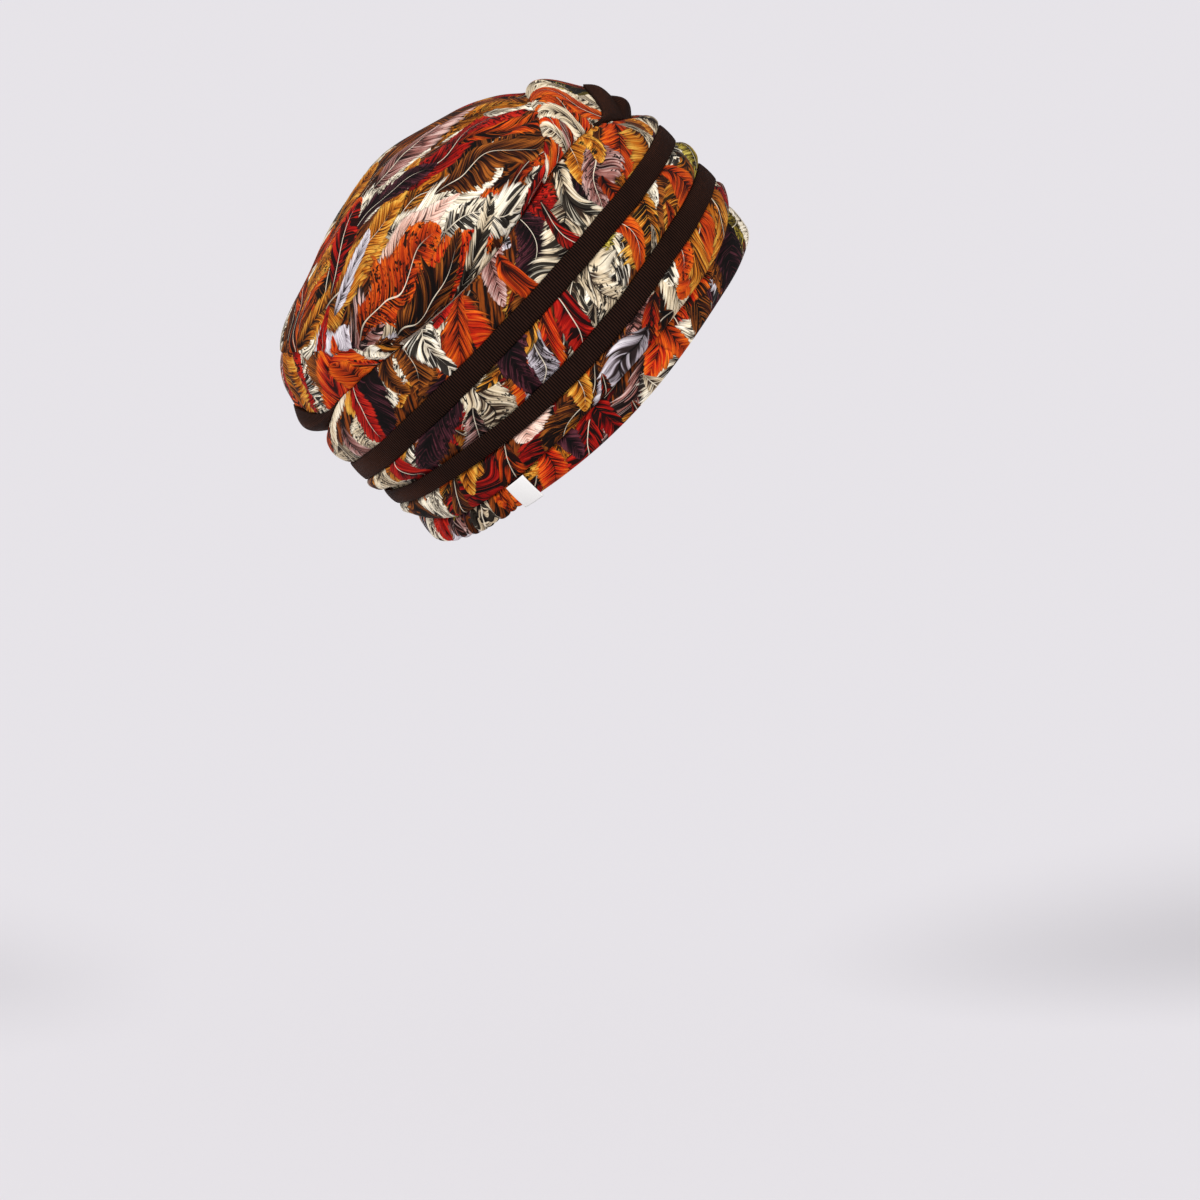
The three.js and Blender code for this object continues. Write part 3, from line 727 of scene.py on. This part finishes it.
loose = 0.55 * ripples(u_mm, v_mm * 0.8, 34.0, 32) * bell((v - 0.55) / 0.42)
upper_fold_grid = upper_fold_grid + normals(upper_fold_grid, True) * (loose - pucker)[..., None]
upper_fold = printed("upper_fold_cloth", upper_fold_grid, 52, (40, 420), 1.2, True)
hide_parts("upper_fold")

# Upper ribbon: grosgrain laid over the seam between the upper and the middle fold, stitched
# along both edges and standing a little proud.
RIBBON_ARCH = (  # share of the half width up from the middle line, how far it stands off
    (-0.9, -1.2), (-1.0, 0.3), (-0.55, 0.85), (0.0, 1.0), (0.55, 0.9), (1.0, 0.4), (0.9, -0.9),
)


def band_ribbon(name, halves, seed):
    """Shallow arch of ribbon on a ring: its half width runs through halves at the height
    angles, its edges turn in and its face has a slight wave."""
    half = through(HEIGHT_ANGLES, halves, np.abs((AROUND + 540) % 360 - 180))
    lines = [ring(name, AROUND, out) for _, out in RIBBON_ARCH]
    for line, (share, _) in zip(lines, RIBBON_ARCH):
        line[:, 2] += share * half
    grid = along_rows(np.stack(lines), np.linspace(0, 1, 22))
    u_mm, v_mm = (a[:, :-1] for a in lengths(grid, True))
    return grid + normals(grid, True) * (0.16 * ripples(u_mm, v_mm, 26.0, seed))[..., None]


upper_ribbon_grid = band_ribbon("upper_ribbon", (5.4, 5.4, 5.3, 5.4, 5.4), 41)
upper_ribbon = trimmed("upper_ribbon_cloth", upper_ribbon_grid, 0.9, True)
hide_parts("upper_ribbon")

# Middle fold: the roll of printed cloth between the two ribbons; both of its edges are
# caught under them.
MIDDLE_STATIONS = (
    ("lower_ribbon", 0.0, "upper_ribbon", 0.0, 0.0, -1.9),
    ("lower_ribbon", RIBBON_HALF - 1.2, "upper_ribbon", 0.0, 0.0, -1.5),
    ("lower_ribbon", RIBBON_HALF + 1.0, "upper_ribbon", 0.0, 0.0, 0.4),
    ("lower_ribbon", RIBBON_HALF, "upper_ribbon", -RIBBON_HALF, 0.25, 2.3),
    ("lower_ribbon", RIBBON_HALF, "upper_ribbon", -RIBBON_HALF, 0.55, 2.8),
    ("lower_ribbon", RIBBON_HALF, "upper_ribbon", -RIBBON_HALF, 0.8, 1.9),
    ("lower_ribbon", RIBBON_HALF, "upper_ribbon", -RIBBON_HALF - 0.5, 1.0, 0.0),
    ("upper_ribbon", -RIBBON_HALF + 1.5, "upper_ribbon", 0.0, 0.0, -1.8),
    ("upper_ribbon", 1.0, "upper_ribbon", 0.0, 0.0, -2.2),
)
middle_fold_grid = roll(MIDDLE_STATIONS, 36, AROUND)
v = np.linspace(0, 1, 36)[:, None]
u_mm, v_mm = (a[:, :-1] for a in lengths(middle_fold_grid, True))
loose = 0.45 * ripples(u_mm, v_mm, 30.0, 52) * bell((v - 0.5) / 0.36)
middle_fold_grid = middle_fold_grid + normals(middle_fold_grid, True) * loose[..., None]
middle_fold = printed("middle_fold_cloth", middle_fold_grid, 48, (90, 610), 1.2, True)
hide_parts("middle_fold")

# Lower ribbon: a second length of the grosgrain over the seam between the middle and the
# lower fold, stitched like the first.
lower_ribbon_grid = band_ribbon("lower_ribbon", (5.6, 5.5, 5.0, 4.3, 4.3), 42)
lower_ribbon = trimmed("lower_ribbon_cloth", lower_ribbon_grid, 0.9, True)
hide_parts("lower_ribbon")

# Lower fold: the narrow roll of printed cloth below the lower ribbon, which laps over the
# seam of the hem.
LOWER_STATIONS = (
    ("hem_seam", -1.0, "lower_ribbon", 0.0, 0.0, -2.6),
    ("hem_seam", -0.7, "lower_ribbon", 0.0, 0.0, -0.2),
    ("hem_seam", 0.0, "lower_ribbon", -RIBBON_HALF, 0.08, 1.4),
    ("hem_seam", 0.2, "lower_ribbon", -RIBBON_HALF, 0.38, 2.1),
    ("hem_seam", 0.2, "lower_ribbon", -RIBBON_HALF, 0.66, 2.0),
    ("hem_seam", 0.2, "lower_ribbon", -RIBBON_HALF, 0.95, 0.0),
    ("lower_ribbon", -RIBBON_HALF + 1.5, "lower_ribbon", 0.0, 0.0, -1.8),
    ("lower_ribbon", 1.0, "lower_ribbon", 0.0, 0.0, -2.2),
)
lower_fold_grid = roll(LOWER_STATIONS, 32, AROUND)
v = np.linspace(0, 1, 32)[:, None]
u_mm, v_mm = (a[:, :-1] for a in lengths(lower_fold_grid, True))
loose = 0.4 * ripples(u_mm, v_mm, 26.0, 62) * bell((v - 0.45) / 0.36)
lower_fold_grid = lower_fold_grid + normals(lower_fold_grid, True) * loose[..., None]
lower_fold = printed("lower_fold_cloth", lower_fold_grid, 46, (20, 760), 1.2, True)
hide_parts("lower_fold")

# Front hem: printed cloth turned under along the brow from one side seam to the other, with
# a soft rolled lower edge.
SIDE_SEAM = 123.0
HEM_STATIONS = (
    ("rim", 0.0, "hem_seam", 0.0, 0.86, -2.6),
    ("rim", 0.0, "hem_seam", 0.0, 0.5, -1.2),
    ("rim", 0.0, "hem_seam", 0.0, 0.16, -1.1),
    ("rim", 0.0, "hem_seam", 0.0, 0.02, -0.4),
    ("rim", 0.0, "hem_seam", 0.0, 0.03, 1.1),
    ("rim", 0.0, "hem_seam", 0.0, 0.16, 2.2),
    ("rim", 0.0, "hem_seam", 0.0, 0.45, 1.8),
    ("rim", 0.0, "hem_seam", 0.0, 0.75, 0.6),
    ("rim", 0.0, "hem_seam", 0.0, 0.95, -1.2),
    ("rim", 0.0, "hem_seam", 1.5, 1.0, -2.4),
)
degrees = np.linspace(-SIDE_SEAM, SIDE_SEAM, 380)
hem_front_grid = roll(HEM_STATIONS, 36, degrees)
v = np.linspace(0, 1, 36)[:, None]
u_mm, v_mm = lengths(hem_front_grid)
loose = 0.25 * ripples(u_mm, v_mm, 30.0, 72) * bell((v - 0.65) / 0.3)
hem_front_grid = hem_front_grid + normals(hem_front_grid) * loose[..., None]
hem_front = printed("hem_front_cloth", hem_front_grid, 50, (330, 880), 0.8)
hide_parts("hem_front")

# Back hem: the same printed hem round the nape, from one side seam to the other.
# Elastic inside it ruches the cloth in fine upright folds.
degrees = np.linspace(SIDE_SEAM, 360 - SIDE_SEAM, 420)
hem_back_grid = roll(HEM_STATIONS, 34, degrees)
v, u = np.meshgrid(np.linspace(0, 1, 34), np.linspace(0, 1, 420), indexing="ij")
full = bell((v - 0.6) / 0.5) ** 0.6
ruche = 2.4 * gathers(u + 0.006 * np.sin(9 * v), 34, 0.01, 0.99, 0.014, 81) * full
swell = 1.6 * full * np.minimum(1, 14 * u * (1 - u))
hem_back_grid = hem_back_grid + normals(hem_back_grid) * (swell - ruche)[..., None]
hem_back = printed("hem_back_cloth", hem_back_grid, 40, (610, 940), 0.8)
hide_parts("hem_back")

# Side label: a small bare white tab folded over and caught in the right side seam, hanging
# just past the rim.
LABEL_WHITE = (238, 237, 234)
LABEL_TURN = 6.5
LABEL_STAND = (3.9, 2.3)
LABEL_RISE = (-0.12, 0.9)
v, u = np.meshgrid(np.linspace(0, 1, 26), np.linspace(0, 1, 20), indexing="ij")
degrees = mix(SIDE_SEAM - LABEL_TURN, SIDE_SEAM, u)
stand = mix(*LABEL_STAND, v**2)
low, high = ring("rim", degrees, stand), ring("hem_seam", degrees, stand)
label_grid = mix(low, high, mix(*LABEL_RISE, v)[..., None])
label_grid = label_grid + normals(label_grid) * (0.5 * np.sin(np.pi * u) - 0.3 * (1 - v) ** 2)[..., None]
label_material, tree, shader, place = cloth_material("label")
weave, _ = noise(tree, place, 45.0, 2.0)
tone = weave.ramp(0.3, 0.7, 0.92, 1.0)
white = blend(tree, 1.0, srgb(*LABEL_WHITE), vector(tree, tone, tone, tone), "MULTIPLY")
tree.links.new(white, shader.inputs["Base Color"])
shader.inputs["Roughness"].default_value = 0.7
raised(tree, shader, weave, 0.0001, 0.25)
side_label = lay("side_label_cloth", label_grid, lengths(label_grid), (label_material,), 0.7)
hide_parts("side_label")

# Floor: one wide studio floor, pale and dull, well below the cap.
# It runs out to the horizon on every side.
FLOOR_Z = -0.335
FLOOR_HALF = 100.0
FLOOR_COLOUR = (0.79, 0.775, 0.80, 1.0)
floor_mesh = bpy.data.meshes.new("studio_floor")
ends = ((-1, -1), (1, -1), (1, 1), (-1, 1))
floor_corners = [(x * FLOOR_HALF, y * FLOOR_HALF, FLOOR_Z) for x, y in ends]
floor_mesh.from_pydata(floor_corners, [], [(0, 1, 2, 3)])
floor = bpy.data.objects.new("studio_floor", floor_mesh)
bpy.context.collection.objects.link(floor)
floor_mat = bpy.data.materials.new("studio_floor")
floor_mat.use_nodes = True
floor_shader = floor_mat.node_tree.nodes["Principled BSDF"]
floor_shader.inputs["Base Color"].default_value = FLOOR_COLOUR
floor_shader.inputs["Roughness"].default_value = 1.0
floor_shader.inputs["Specular IOR Level"].default_value = 0.0
floor_mesh.materials.append(floor_mat)

# Light: a pale room with two large soft lamps, one ahead of the face and one behind.
# The room lights the cloth dimly, and past the floor it looks as pale as the floor.
ROOM_COLOUR = (0.80, 0.775, 0.808, 1.0)
ROOM_LIGHT = 0.41
ROOM_SEEN = 1.0
LAMPS = (  # name, strength, spread in degrees, way that the light goes
    ("left_lamp", 2.2, 26.0, (0.60, -0.70, -0.55)),
    ("right_lamp", 1.75, 26.0, (0.45, 0.72, -0.60)),
)
world = bpy.data.worlds.new("studio")
world.use_nodes = True
tree = world.node_tree
room = tree.nodes["Background"]
room.inputs["Color"].default_value = ROOM_COLOUR
seen = Wire(tree, tree.nodes.new("ShaderNodeLightPath").outputs["Is Camera Ray"])
plug(tree, room.inputs["Strength"], seen * (ROOM_SEEN - ROOM_LIGHT) + ROOM_LIGHT)
bpy.context.scene.world = world
for name, power, spread, way in LAMPS:
    lamp = bpy.data.lights.new(name, "SUN")
    lamp.energy = power
    lamp.angle = np.radians(spread)
    holder = bpy.data.objects.new(name, lamp)
    aim = np.array(way) / np.linalg.norm(way)
    side = np.cross(aim, (0, 0, 1))
    side /= np.linalg.norm(side)
    turn = np.stack([side, np.cross(side, aim), -aim], axis=1)
    holder.matrix_world = Matrix(turn.tolist()).to_4x4()
    bpy.context.collection.objects.link(holder)
bpy.context.scene.view_settings.view_transform = "Standard"

# Camera: the photo's long lens, at the wearer's right and a little above.
# It looks down a few degrees, and its place is measured from the cap's origin in metres.
LENS_MM = 147.9
SENSOR_MM = 36.0
LOOK_DOWN = np.radians(7.45)
CAMERA_AWAY = 2.3476
CAMERA_ASIDE = -0.00143
CAMERA_BELOW = 0.1014
forward = np.array([np.cos(LOOK_DOWN), 0, -np.sin(LOOK_DOWN)])
right = np.array([0.0, -1.0, 0.0])
up = np.array([np.sin(LOOK_DOWN), 0, np.cos(LOOK_DOWN)])
place = -(CAMERA_AWAY * forward + CAMERA_ASIDE * right + CAMERA_BELOW * up)
lens = bpy.data.cameras.new("camera")
lens.lens = LENS_MM
lens.sensor_width = SENSOR_MM
lens.clip_end = 500.0
camera = bpy.data.objects.new("camera", lens)
pose = np.eye(4)
pose[:3, :3] = np.stack([right, up, -forward], axis=1)
pose[:3, 3] = place
camera.matrix_world = Matrix(pose.tolist())
bpy.context.collection.objects.link(camera)
bpy.context.scene.camera = camera
